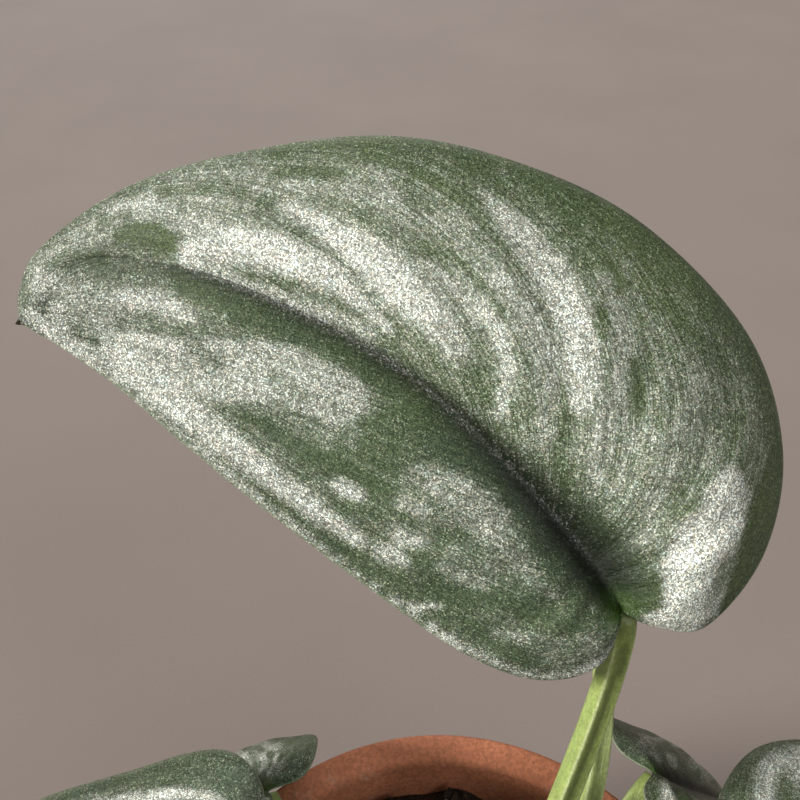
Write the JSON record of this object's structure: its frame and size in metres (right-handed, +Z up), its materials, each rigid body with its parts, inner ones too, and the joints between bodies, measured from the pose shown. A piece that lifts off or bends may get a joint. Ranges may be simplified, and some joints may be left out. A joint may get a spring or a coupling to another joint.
{
  "type": "potted scindapsus plant",
  "caption": "Scindapsus in a tapered clay pot: short vines with lopsided heart-shaped leaves mottled with silver, the largest held up high on its stalk.",
  "frame": {"origin": "middle of the pot's underside, on the plane that it stands on", "axes": "+Z up, -Y towards the viewer of the picture, +X to the viewer's right; the largest leaf points to -X"},
  "size_m": [0.2451, 0.2396, 0.232],
  "materials": {
    "clay": "matte",
    "soil": "matte",
    "vine": "satin",
    "blade": "satin",
    "new_leaf": "satin"
  },
  "bodies": {
    "root": {"pot": "clay", "soil": "soil", "vine_middle": "vine", "vine_left": "vine", "vine_right": "vine", "leaf_large": "blade", "leaf_back": "blade", "leaf_left": "blade", "leaf_front": "blade", "leaf_back_right": "blade", "leaf_back_left": "blade", "leaf_front_left": "blade", "leaf_low_left": "blade", "leaf_tip_left": "blade", "leaf_right": "blade", "leaf_front_right": "blade", "leaf_low_right": "blade", "new_leaf": "new_leaf"}
  },
  "joints": []
}
